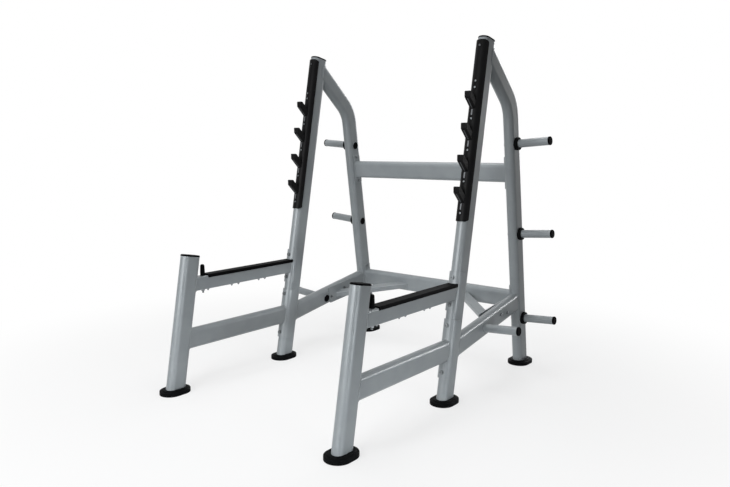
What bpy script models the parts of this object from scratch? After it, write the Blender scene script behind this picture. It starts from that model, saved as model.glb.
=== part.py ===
"""Squat rack: a free-standing steel rack with four bar rests on each upright, two spotter arms and
eight weight horns.

Frame: metres, +Z up. The origin is on the floor in the middle of the footprint, the lifter stands on
the -Y side of the uprights and X is the rack's width, which is symmetric about X = 0.
"""

import math

import bmesh
import bpy
from mathutils import Matrix, Vector

# Side frames
FRAME_SPACING = 1.150
BASE_LENGTH = 1.593
UPRIGHT_SETBACK = 0.771
TUBE_WIDTH = 0.060
TUBE_DEPTH = 0.105
TUBE_WALL = 0.003
LEG_LEAN = 10.0
LEG_ABOVE_ARM = 0.147
UPRIGHT_HEIGHT = 1.786
UPRIGHT_LEAN = 10.5
REAR_LEAN = 8.4
JOINT_BELOW_TOP = 0.0566
BEND_TOP_LEAN = 49.0
BEND_RADIUS = 0.185

# Rails, arms, crossbars and braces
RAIL_WIDTH = 0.050
RAIL_HEIGHT = 0.1070
RAIL_WALL = 0.0025
RAIL_CORNER = 0.0235
RAIL_Z = 0.266
SIDE_RAIL_DROP = 0.006
SIDE_RAIL_RISE = 10.1
ARM_WIDTH = 0.050
ARM_HEIGHT = 0.072
ARM_CORNER = 0.008
ARM_Z = 0.551
CROSSBAR_UPPER_Z = 1.119
CROSSBAR_LOWER_Z = 0.389
BRACE_WIDTH = 0.050
BRACE_HEIGHT = 0.034
BRACE_CORNER = 0.006
BRACE_TWIST = 14.0
BRACE_FORWARD = 0.371
BRACE_RAIL_DROP = 0.016
BRACE_BAR_X = 0.205
BRACE_BAR_DROP = 0.011

# Saddles and plates that join the frame
PLATE_THICKNESS = 0.006
SADDLE_WRAP = 0.005
ARM_SADDLE_BELOW = 0.101
ARM_SADDLE_ABOVE = 0.092
RAIL_SADDLE_BELOW = 0.144
RAIL_SADDLE_ABOVE = 0.144
SADDLE_BOLT_INSET = 0.030
CROSSBAR_PLATE_WIDTH = 0.056
CROSSBAR_PLATE_ABOVE = 0.092
UPPER_PLATE_BELOW = 0.088
LOWER_PLATE_BELOW = 0.070
PLATE_VENT_RADIUS = 0.008
BRACE_PLATE_FRONT = 0.073
BRACE_PLATE_REAR = 0.167
BRACE_PLATE_HEIGHT = 0.104
BRACE_PLATE_DROP = 0.004
BRACE_PLATE_TILT = 7.0
PLATE_CORNER = 0.008

# Bar rack: the black moulding with the bar rests
RACK_THICKNESS = 0.006
RACK_DEPTH = 0.0225
RACK_HEIGHT = 0.887
RACK_BELOW_TOP = 0.013
RACK_CORNER = 0.016
HOOK_WIDTH = 0.032
HOOK_REACH = 0.060
HOOK_ANGLE = 44.5
HOOK_THICKNESS = 0.034
HOOK_TIP = 0.018
HOOK_BELOW_TOP = 0.258
HOOK_SPACING = 0.1533
HOOK_COUNT = 4

# Arm liner with its bar stop
LINER_THICKNESS = 0.007
LINER_SIDE = 0.003
LINER_SKIRT = 0.011
LINER_CORNER = 0.004
LINER_SETBACK = 0.064
STOP_SETBACK = 0.046
STOP_RADIUS = 0.0125
STOP_HEIGHT = 0.060
STOP_LINK_WIDTH = 0.016
STOP_LINK_HEIGHT = 0.005

# Weight horns
HORN_RADIUS = 0.0222
HORN_WALL = 0.003
HORN_LENGTH = 0.186
HORN_TILT = 4.5
HORN_STUB = 0.003
TOP_HORN_Z = 1.274
MIDDLE_HORN_Z = 0.776
LOW_HORN_Z = 0.279
RAIL_HORN_SETBACK = 0.355
RAIL_HORN_DROP = 0.007
COLLAR_RADIUS = 0.0345
COLLAR_THICKNESS = 0.016
HORN_CAP_LENGTH = 0.009
HORN_CAP_STEM = 0.014

# Feet and end caps
FOOT_WIDTH = 0.123
FOOT_LENGTH = 0.163
FOOT_BASE = 0.020
FOOT_STEP = 0.005
FOOT_STEP_INSET = 0.014
CAP_THICKNESS = 0.008
CAP_LIP = 0.0008
CAP_SPIGOT = 0.022

# Bolts that hold the saddles
BOLT_RADIUS = 0.0050
BOLT_HEAD_RADIUS = 0.0085
BOLT_HEAD_HEIGHT = 0.0070
BOLT_WASHER_RADIUS = 0.0115
BOLT_WASHER_HEIGHT = 0.0020
BOLT_REACH = 0.006

# Clearance between pieces that touch
GAP = 0.0003

# Where a saddle's inner channel ends in front, as a share of the tube's inner radius
CHANNEL_FRONT = 0.85

# How round the round pieces are
HALF_ROUND_STEPS = 9
CORNER_STEPS = 3
BEND_STEPS = 7
HORN_STEPS = 16
BOLT_STEPS = 8
FOOT_STEPS = 10
POST_STEPS = 14

SIDES = (("l", -1), ("r", 1))
SIDE_X = FRAME_SPACING / 2
FRONT_Y = -BASE_LENGTH / 2
REAR_Y = BASE_LENGTH / 2
UPRIGHT_Y = FRONT_Y + UPRIGHT_SETBACK
LEG_HEIGHT = ARM_Z + LEG_ABOVE_ARM
JOINT_Z = UPRIGHT_HEIGHT - JOINT_BELOW_TOP
RACK_TOP_Z = UPRIGHT_HEIGHT - RACK_BELOW_TOP
RACK_BOTTOM_Z = RACK_TOP_Z - RACK_HEIGHT
HOOK_TOP_Z = UPRIGHT_HEIGHT - HOOK_BELOW_TOP
BRACE_RAIL_Y = REAR_Y - BRACE_FORWARD
RAIL_HORN_Y = UPRIGHT_Y + RAIL_HORN_SETBACK
FOOT_HEIGHT = FOOT_BASE + FOOT_STEP


def clear_scene():
    for item in list(bpy.data.objects):
        bpy.data.objects.remove(item, do_unlink=True)


def new_collection(name):
    group = bpy.data.collections.new(name)
    bpy.context.scene.collection.children.link(group)
    return group


def material(name, color, roughness, metallic):
    finish = bpy.data.materials.new(name)
    finish.use_nodes = True
    shader = finish.node_tree.nodes["Principled BSDF"]
    shader.inputs["Base Color"].default_value = (*color, 1.0)
    shader.inputs["Roughness"].default_value = roughness
    shader.inputs["Metallic"].default_value = metallic
    return finish


clear_scene()
PARTS = new_collection("squat_rack")
CUTTERS = new_collection("cutters")
PAINT = (0.30, 0.32, 0.34)
BLACK = (0.012, 0.012, 0.014)
STEEL = (0.42, 0.43, 0.45)
FINISHES = {
    "paint": (PAINT, 0.38, 0.55),
    "black": (BLACK, 0.42, 0.0),
    "rubber": (BLACK, 0.62, 0.0),
    "steel": (STEEL, 0.30, 1.0),
}
FRAMES = {}


def side_frame(side, sign):
    """An empty in the plane of one side frame, which carries that side's pieces."""
    empty = bpy.data.objects.new("side_frame_" + side, None)
    empty.location = (sign * SIDE_X, 0, 0)
    PARTS.objects.link(empty)
    FRAMES[side] = empty


def add_piece(name, mesh, place, finish, side=None):
    """Links a piece with its own material. With a side, its place is measured from that side frame."""
    piece = bpy.data.objects.new(name, mesh)
    PARTS.objects.link(piece)
    color, roughness, metallic = FINISHES[finish]
    mesh.materials.clear()
    mesh.materials.append(material(name, color, roughness, metallic))
    mesh.shade_smooth()
    mesh.set_sharp_from_angle(angle=math.radians(32))
    piece.matrix_basis = place
    if side:
        piece.parent = FRAMES[side]
    return piece


def add_cutter(name, mesh, place, side=None):
    tool = bpy.data.objects.new(name, mesh)
    CUTTERS.objects.link(tool)
    tool.matrix_basis = place
    tool.hide_render = True
    tool.display_type = "WIRE"
    if side:
        tool.parent = FRAMES[side]
    return tool


def boolean(piece, tool, operation="DIFFERENCE"):
    step = piece.modifiers.new(operation.lower() + "_" + tool.name[:40], "BOOLEAN")
    step.operation = operation
    step.solver = "EXACT"
    step.object = tool


def finish_mesh(name, work):
    bmesh.ops.recalc_face_normals(work, faces=work.faces[:])
    mesh = bpy.data.meshes.new(name)
    work.to_mesh(mesh)
    work.free()
    return mesh


# Outlines, as lists of (x, y)

def arc(centre, radius, start, end, steps):
    turns = [math.radians(start + (end - start) * i / steps) for i in range(steps + 1)]
    return [(centre[0] + radius * math.cos(a), centre[1] + radius * math.sin(a)) for a in turns]


def flat_oval(width, depth, offset=0.0, steps=HALF_ROUND_STEPS):
    """Outline of a flat-sided oval: flat faces on +-X and round ends on +-Y."""
    reach = (depth - width) / 2
    radius = width / 2 + offset
    back = arc((0, reach), radius, 0, 180, steps)
    front = arc((0, -reach), radius, 180, 360, steps)
    return back + front


def rounded_box(width, height, corner, offset=0.0):
    corner = min(corner, 0.49 * min(width, height))
    x = width / 2 - corner
    y = height / 2 - corner
    radius = corner + offset
    points = []
    for turn, centre in enumerate(((x, y), (-x, y), (-x, -y), (x, -y))):
        points += arc(centre, radius, 90 * turn, 90 * turn + 90, CORNER_STEPS)
    return points


def circle(radius, steps):
    return arc((0, 0), radius, 0, 360, steps)[:-1]


def tube_saddle(thickness, back_y):
    """Outline of a strap round the front of the flat-oval tube, whose two ends are at this local Y.

    Its inside is a plain channel within the tube, for the tube's clearance to cut it to fit.
    """
    reach = (TUBE_DEPTH - TUBE_WIDTH) / 2
    outer = TUBE_WIDTH / 2 + GAP + thickness
    inner = TUBE_WIDTH / 2 - TUBE_WALL
    drop = max(0.0, -reach - back_y)
    skipped = math.degrees(math.asin(drop / outer))
    strap = arc((0, -reach), outer, 180 + skipped, 360 - skipped, HALF_ROUND_STEPS)
    if back_y > -reach:
        strap = [(-outer, back_y)] + strap + [(outer, back_y)]
    half = math.sqrt(inner ** 2 - drop ** 2)
    front = -reach - CHANNEL_FRONT * inner
    return strap + [(half, back_y), (inner / 2, front), (-inner / 2, front), (-half, back_y)]


# Solids

def extruded(name, outlines, length):
    """A flat outline, with its holes, drawn out along local +Z from Z = 0."""
    curve = bpy.data.curves.new(name, "CURVE")
    curve.dimensions = "2D"
    curve.fill_mode = "BOTH"
    curve.extrude = length / 2
    for outline in outlines:
        spline = curve.splines.new("POLY")
        spline.points.add(len(outline) - 1)
        for point, (x, y) in zip(spline.points, outline):
            point.co = (x, y, 0, 1)
        spline.use_cyclic_u = True
    holder = bpy.data.objects.new(name, curve)
    PARTS.objects.link(holder)
    graph = bpy.context.evaluated_depsgraph_get()
    flat = bpy.data.meshes.new_from_object(holder.evaluated_get(graph))
    bpy.data.objects.remove(holder, do_unlink=True)
    bpy.data.curves.remove(curve)
    work = bmesh.new()
    work.from_mesh(flat)
    bpy.data.meshes.remove(flat)
    bmesh.ops.remove_doubles(work, verts=work.verts[:], dist=0.00001)
    bmesh.ops.translate(work, verts=work.verts[:], vec=(0, 0, length / 2))
    return finish_mesh(name, work)


def box_mesh(name, low, high):
    work = bmesh.new()
    bmesh.ops.create_cube(work, size=1.0)
    low, high = Vector(low), Vector(high)
    bmesh.ops.scale(work, vec=high - low, verts=work.verts[:])
    bmesh.ops.translate(work, vec=(low + high) / 2, verts=work.verts[:])
    return finish_mesh(name, work)


def turned(name, profile, steps):
    """A turned solid about local Z from (radius, z) points that start and end on the axis."""
    work = bmesh.new()
    points = [work.verts.new((radius, 0, z)) for radius, z in profile]
    edges = [work.edges.new(pair) for pair in zip(points, points[1:])]
    bmesh.ops.spin(work, geom=points + edges, cent=(0, 0, 0), axis=(0, 0, 1), angle=2 * math.pi,
                   steps=steps, use_merge=True)
    bmesh.ops.remove_doubles(work, verts=work.verts[:], dist=0.00001)
    return finish_mesh(name, work)


# Places

def turn_x(degrees):
    return Matrix.Rotation(math.radians(degrees), 4, "X")


def turn_y(degrees):
    return Matrix.Rotation(math.radians(degrees), 4, "Y")


def move(x, y, z):
    return Matrix.Translation((x, y, z))


def leg_y(z):
    return FRONT_Y + z * math.tan(math.radians(LEG_LEAN))


def upright_y(z):
    return UPRIGHT_Y + z * math.tan(math.radians(UPRIGHT_LEAN))


def rear_y(z):
    return REAR_Y - z * math.tan(math.radians(REAR_LEAN))


def upright_length(z):
    """Distance up the upright's centre line, from the floor to this height."""
    return z / math.cos(math.radians(UPRIGHT_LEAN))


def leg_place(z):
    """Local Z runs up the front leg, from its centre line at this height."""
    return move(0, leg_y(z), z) @ turn_x(-LEG_LEAN)


def upright_place(z):
    return move(0, upright_y(z), z) @ turn_x(-UPRIGHT_LEAN)


def rear_place(z):
    return move(0, rear_y(z), z) @ turn_x(REAR_LEAN)


def side_rail_z(y):
    """Height of the rising side rail's centre line, which starts a little below the front rail's."""
    return RAIL_Z - SIDE_RAIL_DROP + (y - upright_y(RAIL_Z)) * math.tan(math.radians(SIDE_RAIL_RISE))


def along(start, end):
    """Local Z from start towards end, with local X level."""
    forward = (end - start).normalized()
    level = Vector((-forward.y, forward.x, 0)).normalized()
    up = forward.cross(level)
    turn = Matrix((level, up, forward)).transposed().to_4x4()
    return Matrix.Translation(start) @ turn


# Cutters that keep a gap round the tubes

def clearance(name, place, height, side):
    """The outside of a tube with the gap round it, from well below the floor to well above its top."""
    outline = flat_oval(TUBE_WIDTH, TUBE_DEPTH, GAP)
    mesh = extruded(name, [outline], height + 4 * TUBE_DEPTH)
    return add_cutter(name + "_" + side, mesh, place @ move(0, 0, -2 * TUBE_DEPTH), side)


def cut_off(name, low, high, side=None):
    """A block that takes away everything between two corners."""
    return add_cutter(name, box_mesh(name, low, high), Matrix(), side)


# The tubes of a side frame

def leaning_tube(name, place, height, lean, side):
    """A tube from below the floor up to a square top at this height on its centre line."""
    outlines = [flat_oval(TUBE_WIDTH, TUBE_DEPTH), flat_oval(TUBE_WIDTH, TUBE_DEPTH, -TUBE_WALL)]
    run = height / math.cos(math.radians(lean))
    mesh = extruded(name, outlines, run + TUBE_DEPTH)
    return add_piece(name + "_" + side, mesh, place @ move(0, 0, -TUBE_DEPTH), "paint", side)


def leaning(degrees):
    """The direction of a run that leans forward by this angle."""
    return Vector((0, -math.sin(math.radians(degrees)), math.cos(math.radians(degrees))))


def upper_run_length():
    """Along the rear tube's upper run, from its bend's corner to the joint on the upright's centre line."""
    upper = leaning(BEND_TOP_LEAN)
    slope = math.tan(math.radians(REAR_LEAN))
    return (rear_y(JOINT_Z) - upright_y(JOINT_Z)) / (-upper.y - slope * upper.z)


def rear_tube(side):
    """One flat-oval tube, bent forward at the top and coped to the upright's back."""
    turn = math.radians(BEND_TOP_LEAN - REAR_LEAN)
    tangent = BEND_RADIUS * math.tan(turn / 2)
    lower = leaning(REAR_LEAN)
    upper = leaning(BEND_TOP_LEAN)
    corner = Vector((0, upright_y(JOINT_Z), JOINT_Z)) - upper * upper_run_length()
    start = Vector((0, REAR_Y, 0)) - lower * TUBE_DEPTH
    bend_start = corner - lower * tangent
    bend_centre = bend_start + leaning(REAR_LEAN + 90) * BEND_RADIUS

    work = bmesh.new()
    outlines = [flat_oval(TUBE_WIDTH, TUBE_DEPTH), flat_oval(TUBE_WIDTH, TUBE_DEPTH, -TUBE_WALL)]
    outer, inner = [[work.verts.new((x, y, 0)) for x, y in outline] for outline in outlines]
    end = [work.faces.new((outer[i - 1], outer[i], inner[i], inner[i - 1])) for i in range(len(outer))]
    placed = Matrix.Translation(start) @ turn_x(REAR_LEAN)
    bmesh.ops.transform(work, matrix=placed, verts=work.verts[:])
    steps = [(bend_start - start, 0)] + [(Vector(), turn / BEND_STEPS)] * BEND_STEPS
    steps.append((upper * (upper_run_length() - tangent), 0))
    inside = []
    for shift, angle in steps:
        grown = bmesh.ops.extrude_face_region(work, geom=end)["geom"]
        verts = [item for item in grown if isinstance(item, bmesh.types.BMVert)]
        end = [item for item in grown if isinstance(item, bmesh.types.BMFace)]
        inside += end
        bmesh.ops.translate(work, vec=shift, verts=verts)
        bmesh.ops.rotate(work, cent=bend_centre, matrix=Matrix.Rotation(angle, 3, "X"), verts=verts)
    bmesh.ops.delete(work, geom=inside[:-len(end)], context="FACES_ONLY")
    return add_piece("rear_tube_" + side, finish_mesh("rear_tube", work), Matrix(), "paint", side)


def box_tube(name, place, length, size, corner, side=None):
    """A rounded rectangular tube, with its length along local Z."""
    outlines = [rounded_box(*size, corner), rounded_box(*size, corner, -RAIL_WALL)]
    return add_piece(name, extruded(name, outlines, length), place, "paint", side)


def saddled_run(name, z, size, corner, below, above, side):
    """A level tube from the front leg to the upright, welded to a saddle that wraps the upright's front."""
    start = move(0, upright_y(z), z) @ turn_x(90)
    run = box_tube(name + "_" + side, start, upright_y(z) - leg_y(z), size, corner, side)
    boolean(run, bpy.data.objects["leg_clearance_" + side])
    low = upright_length(z - below)
    strap = extruded("saddle", [tube_saddle(PLATE_THICKNESS, SADDLE_WRAP)], upright_length(z + above) - low)
    saddle = add_cutter(name + "_saddle_" + side, strap, upright_place(0) @ move(0, 0, low), side)
    boolean(run, saddle, "UNION")
    boolean(run, bpy.data.objects["upright_clearance_" + side])
    return run


def side_rail(side):
    """The rail from the upright back and up to the rear tube."""
    start = upright_y(RAIL_Z)
    slope = math.radians(SIDE_RAIL_RISE)
    rear_slope = math.tan(math.radians(REAR_LEAN))
    foot_z = side_rail_z(start)
    reach = (REAR_Y - start - foot_z * rear_slope) / (math.cos(slope) + math.sin(slope) * rear_slope)
    end = move(0, start + reach * math.cos(slope), foot_z + reach * math.sin(slope))
    size = (RAIL_WIDTH, RAIL_HEIGHT)
    rail = box_tube("side_rail_" + side, end @ turn_x(90 + SIDE_RAIL_RISE), reach, size, RAIL_CORNER, side)
    boolean(rail, bpy.data.objects["upright_clearance_" + side])
    boolean(rail, bpy.data.objects["rear_clearance_" + side])
    return rail


# Bolts through the saddles

def saddle_bolts(run, name, z, below, above, upright, side):
    for label, height in (("top", z + above - SADDLE_BOLT_INSET), ("bottom", z - below + SADDLE_BOLT_INSET)):
        face = TUBE_DEPTH / 2 + GAP + PLATE_THICKNESS
        seat = upright_place(height) @ move(0, -face, 0) @ turn_x(90)
        bolt_name = name + "_bolt_" + label + "_" + side
        reach = PLATE_THICKNESS + TUBE_WALL + BOLT_REACH
        add_piece(bolt_name, bolt_mesh(reach), seat, "steel", side)
        hole = extruded("bolt_hole", [circle(BOLT_RADIUS + GAP, BOLT_STEPS)], TUBE_DEPTH)
        tool = add_cutter(bolt_name + "_hole", hole, seat @ move(0, 0, -TUBE_DEPTH / 2), side)
        boolean(run, tool)
        boolean(upright, tool)


def bolt_mesh(reach):
    """A washer, a cap head with a socket, and a shank that ends inside the tube it holds."""
    top = BOLT_HEAD_HEIGHT + BOLT_WASHER_HEIGHT
    socket = BOLT_HEAD_RADIUS / 2
    profile = [
        (0, top - socket),
        (socket, top - socket),
        (socket, top),
        (BOLT_HEAD_RADIUS, top),
        (BOLT_HEAD_RADIUS, BOLT_WASHER_HEIGHT),
        (BOLT_WASHER_RADIUS, BOLT_WASHER_HEIGHT),
        (BOLT_WASHER_RADIUS, GAP),
        (BOLT_RADIUS, GAP),
        (BOLT_RADIUS, -reach),
        (0, -reach),
    ]
    return turned("saddle_bolt", profile, BOLT_STEPS)


# Bar rack

def rack_front():
    """Distance from the upright's centre line to the front of the moulding."""
    return TUBE_DEPTH / 2 + GAP + RACK_THICKNESS


def hook_outline():
    """Forward and up distances of a hook's corners, from the bottom of its V."""
    slope = math.tan(math.radians(HOOK_ANGLE))
    drop = HOOK_THICKNESS / math.cos(math.radians(HOOK_ANGLE))
    buried = rack_front() / 2
    top = (HOOK_REACH - HOOK_TIP) * slope
    return [
        (-buried, -buried * slope - drop),
        (HOOK_REACH, HOOK_REACH * slope - drop),
        (HOOK_REACH, top),
        (HOOK_REACH - HOOK_TIP, top),
        (-buried, -buried * slope),
    ]


def hook_place(index):
    """The bottom of a hook's V on the moulding's front, turned so that an outline faces sideways."""
    rise = (HOOK_REACH - HOOK_TIP) * math.tan(math.radians(HOOK_ANGLE))
    z = HOOK_TOP_Z - HOOK_SPACING * index - rise
    front = upright_y(z) - rack_front() / math.cos(math.radians(UPRIGHT_LEAN))
    turn = Matrix(((0, 0, -1), (-1, 0, 0), (0, 1, 0))).to_4x4()
    return move(0, front, z) @ turn @ move(0, 0, -HOOK_WIDTH / 2)


def rack_face_outline(height):
    """The moulding seen from the front, with rounded corners and spare width between them."""
    half = TUBE_WIDTH / 2 + GAP + RACK_THICKNESS
    spare = half + TUBE_WALL
    low, high = RACK_CORNER, height - RACK_CORNER
    x = half - RACK_CORNER
    outline = [(spare, low), (spare, high)]
    outline += arc((x, high), RACK_CORNER, 0, 90, CORNER_STEPS + 1)
    outline += arc((-x, high), RACK_CORNER, 90, 180, CORNER_STEPS + 1)
    outline += [(-spare, high), (-spare, low)]
    outline += arc((-x, low), RACK_CORNER, 180, 270, CORNER_STEPS + 1)
    outline += arc((x, low), RACK_CORNER, 270, 360, CORNER_STEPS + 1)
    return outline


def bar_rack(side):
    """The moulding round the front of the upright, with one hook above another."""
    low = upright_length(RACK_BOTTOM_Z)
    height = upright_length(RACK_TOP_Z) - low
    place = upright_place(0) @ move(0, 0, low)
    skin = extruded("bar_rack", [tube_saddle(RACK_THICKNESS, RACK_DEPTH - TUBE_DEPTH / 2)], height + TUBE_WALL)
    rack = add_piece("bar_rack_" + side, skin, place @ move(0, 0, -TUBE_WALL / 2), "black", side)
    face = extruded("rack_face", [rack_face_outline(height)], 4 * TUBE_DEPTH)
    trim = add_cutter("rack_face_" + side, face, place @ turn_x(90) @ move(0, 0, -2 * TUBE_DEPTH), side)
    boolean(rack, trim, "INTERSECT")
    hook = extruded("hook", [hook_outline()], HOOK_WIDTH)
    for index in range(HOOK_COUNT):
        tool = add_cutter("hook_" + str(index + 1) + "_" + side, hook, hook_place(index), side)
        boolean(rack, tool, "UNION")
    boolean(rack, bpy.data.objects["upright_clearance_" + side])


# Liner and bar stop on a spotter arm

def arm_liner(side):
    """The liner on top of the arm, with the bar stop's post at its front."""
    leg_back = leg_y(ARM_Z) + TUBE_DEPTH / 2 / math.cos(math.radians(LEG_LEAN))
    arm_top = ARM_Z + ARM_HEIGHT / 2
    front = leg_back + LINER_SETBACK
    length = upright_y(ARM_Z) - front
    size = (ARM_WIDTH + 2 * (LINER_SIDE + GAP), LINER_THICKNESS + GAP + LINER_SKIRT)
    block = extruded("arm_liner", [rounded_box(*size, LINER_CORNER)], length)
    place = move(0, front + length, arm_top + GAP + LINER_THICKNESS - size[1] / 2) @ turn_x(90)
    liner = add_piece("arm_liner_" + side, block, place, "black", side)
    space = extruded("arm_space", [rounded_box(ARM_WIDTH, ARM_HEIGHT, ARM_CORNER, GAP)], length + TUBE_DEPTH)
    start = move(0, front + length + TUBE_DEPTH / 2, ARM_Z) @ turn_x(90)
    boolean(liner, add_cutter("arm_space_" + side, space, start, side))

    stop_y = leg_back + STOP_SETBACK
    half = STOP_LINK_WIDTH / 2
    low = (-half, stop_y, arm_top + GAP)
    high = (half, front + LINER_CORNER + half, arm_top + GAP + STOP_LINK_HEIGHT)
    boolean(liner, cut_off("stop_link_" + side, low, high, side), "UNION")
    rounding = STOP_RADIUS * 0.7
    dome = arc((STOP_RADIUS - rounding, STOP_HEIGHT - rounding), rounding, 90, 0, CORNER_STEPS)
    post = turned("bar_stop", [(0, STOP_HEIGHT)] + dome + [(STOP_RADIUS, 0), (0, 0)], POST_STEPS)
    boolean(liner, add_cutter("bar_stop_" + side, post, move(0, stop_y, arm_top + GAP), side), "UNION")
    boolean(liner, bpy.data.objects["saddle_clearance_" + side])


# Crossbars and their end plates

def crossbar_place(z):
    return move(0, rear_y(z), z) @ turn_x(REAR_LEAN)


def crossbar(name, z, plate_below):
    """A rounded tube between the rear tubes, with a vented plate welded on each end."""
    face = SIDE_X - TUBE_WIDTH / 2 - GAP
    half = face - PLATE_THICKNESS / 2
    across = crossbar_place(z) @ turn_y(90)
    bar = box_tube(name, across @ move(0, 0, -half), 2 * half, (RAIL_HEIGHT, RAIL_WIDTH), RAIL_CORNER)
    height = plate_below + CROSSBAR_PLATE_ABOVE
    outline = rounded_box(height, CROSSBAR_PLATE_WIDTH, PLATE_CORNER)
    middle = (plate_below - CROSSBAR_PLATE_ABOVE) / 2
    plate = extruded("end_plate", [outline], PLATE_THICKNESS)
    for side, low in (("l", -face), ("r", face - PLATE_THICKNESS)):
        tool = add_cutter(name + "_plate_" + side, plate, across @ move(middle, 0, low))
        boolean(bar, tool, "UNION")
    vent = extruded("vent", [circle(PLATE_VENT_RADIUS, BOLT_STEPS)], 4 * SIDE_X)
    boolean(bar, add_cutter(name + "_vents", vent, across @ move(0, 0, -2 * SIDE_X)))


# Diagonal braces from the side rails to the lower crossbar

def brace(side, sign):
    """A brace, twisted so that its top faces the front, with the plate that bolts it to the side rail."""
    start = Vector((sign * SIDE_X, BRACE_RAIL_Y, side_rail_z(BRACE_RAIL_Y) - BRACE_RAIL_DROP))
    end = Vector((sign * BRACE_BAR_X, rear_y(CROSSBAR_LOWER_Z), CROSSBAR_LOWER_Z - BRACE_BAR_DROP))
    size = (BRACE_WIDTH, BRACE_HEIGHT)
    twisted = along(start, end) @ Matrix.Rotation(math.radians(-sign * BRACE_TWIST), 4, "Z")
    piece = box_tube("brace_" + side, twisted, (end - start).length, size, BRACE_CORNER)
    face = SIDE_X - RAIL_WIDTH / 2 - GAP
    edges = sorted((sign * (face - PLATE_THICKNESS / 2), sign * 2 * SIDE_X))
    reach = 2 * BASE_LENGTH
    boolean(piece, cut_off("brace_end_" + side, (edges[0], -reach, -reach), (edges[1], reach, reach)))
    length = BRACE_PLATE_FRONT + BRACE_PLATE_REAR
    plate = extruded("brace_plate", [rounded_box(BRACE_PLATE_HEIGHT, length, PLATE_CORNER)], PLATE_THICKNESS)
    y = BRACE_RAIL_Y + (BRACE_PLATE_REAR - BRACE_PLATE_FRONT) / 2
    place = move(sign * face, y, side_rail_z(y) - BRACE_PLATE_DROP) @ turn_x(BRACE_PLATE_TILT) @ turn_y(-90 * sign)
    boolean(piece, add_cutter("brace_plate_" + side, plate, place), "UNION")
    boolean(piece, bpy.data.objects["lower_crossbar_clearance"])


def crossbar_clearance():
    outline = rounded_box(RAIL_HEIGHT, RAIL_WIDTH, RAIL_CORNER, GAP)
    space = extruded("crossbar_clearance", [outline], 2 * SIDE_X)
    place = crossbar_place(CROSSBAR_LOWER_Z) @ turn_y(90) @ move(0, 0, -SIDE_X)
    add_cutter("lower_crossbar_clearance", space, place)


# Horns

def horn(label, y, z, width, carrier, side, sign):
    """A pipe that rises outwards through the carrier, with a cap on its outer end."""
    inward = width / 2 + HORN_STUB
    place = move(0, y, z) @ turn_y(sign * (90 - HORN_TILT))
    outlines = [circle(HORN_RADIUS, HORN_STEPS), circle(HORN_RADIUS - HORN_WALL, HORN_STEPS)]
    pipe = extruded("horn", outlines, inward + width / 2 + HORN_LENGTH)
    name = label + "_horn_" + side
    add_piece(name, pipe, place @ move(0, 0, -inward), "paint", side)
    bore = extruded("horn_bore", [circle(HORN_RADIUS + GAP, HORN_STEPS)], inward + 2 * width)
    boolean(carrier, add_cutter(name + "_bore", bore, place @ move(0, 0, -inward - width / 2), side))
    stem = HORN_RADIUS - HORN_WALL - GAP
    edge = HORN_CAP_LENGTH / 3
    outer = HORN_RADIUS + CAP_LIP
    profile = [
        (0, HORN_CAP_LENGTH),
        (outer - edge, HORN_CAP_LENGTH),
        (outer, HORN_CAP_LENGTH - edge),
        (outer, GAP),
        (stem, GAP),
        (stem, -HORN_CAP_STEM),
        (0, -HORN_CAP_STEM),
    ]
    cap = turned("horn_cap", profile, HORN_STEPS)
    add_piece(label + "_horn_cap_" + side, cap, place @ move(0, 0, width / 2 + HORN_LENGTH), "black", side)
    return place


def horn_collar(label, place, side):
    """A disc round the horn, seated on the rear tube's outer face."""
    outlines = [circle(COLLAR_RADIUS, HORN_STEPS), circle(HORN_RADIUS + GAP, HORN_STEPS)]
    seat = TUBE_WIDTH / 2 - TUBE_WALL
    ring = extruded("horn_collar", outlines, COLLAR_THICKNESS + TUBE_WALL)
    collar = add_piece(label + "_horn_collar_" + side, ring, place @ move(0, 0, seat), "black", side)
    boolean(collar, bpy.data.objects["rear_clearance_" + side])


# Feet and end caps

def bevel_rim(mesh, z, width):
    """Rounds the rim of an extruded solid's end face at this height."""
    work = bmesh.new()
    work.from_mesh(mesh)
    bmesh.ops.dissolve_limit(work, angle_limit=math.radians(1), verts=work.verts[:], edges=work.edges[:])
    rim = [edge for edge in work.edges if all(abs(vert.co.z - z) < 0.00001 for vert in edge.verts)]
    bmesh.ops.bevel(work, geom=rim, offset=width, segments=1, profile=0.5, affect="EDGES", material=-1)
    work.to_mesh(mesh)
    work.free()


def foot(name, y, side):
    """A pad with a wide base and a narrower step under the tube."""
    base = extruded("foot", [flat_oval(FOOT_WIDTH, FOOT_LENGTH, 0, FOOT_STEPS)], FOOT_BASE)
    bevel_rim(base, FOOT_BASE, FOOT_BASE / 4)
    piece = add_piece(name + "_" + side, base, move(0, y, 0), "rubber", side)
    height = FOOT_STEP + FOOT_BASE / 2
    step = extruded("foot_step", [flat_oval(FOOT_WIDTH, FOOT_LENGTH, -FOOT_STEP_INSET, FOOT_STEPS)], height)
    bevel_rim(step, height, FOOT_STEP / 3)
    boolean(piece, add_cutter(name + "_step_" + side, step, move(0, y, FOOT_BASE / 2), side), "UNION")


def tube_cap(name, place, side):
    """A push-in cap: its plate covers the tube's end and its spigot is inside."""
    plate = extruded("cap", [flat_oval(TUBE_WIDTH, TUBE_DEPTH, CAP_LIP)], CAP_THICKNESS)
    bevel_rim(plate, CAP_THICKNESS, CAP_THICKNESS / 2)
    piece = add_piece(name + "_" + side, plate, place @ move(0, 0, GAP), "black", side)
    outline = flat_oval(TUBE_WIDTH, TUBE_DEPTH, -TUBE_WALL - GAP)
    spigot = extruded("spigot", [outline], CAP_SPIGOT + CAP_THICKNESS / 2)
    tool = add_cutter(name + "_spigot_" + side, spigot, place @ move(0, 0, GAP - CAP_SPIGOT), side)
    boolean(piece, tool, "UNION")


# Assembly

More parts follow.
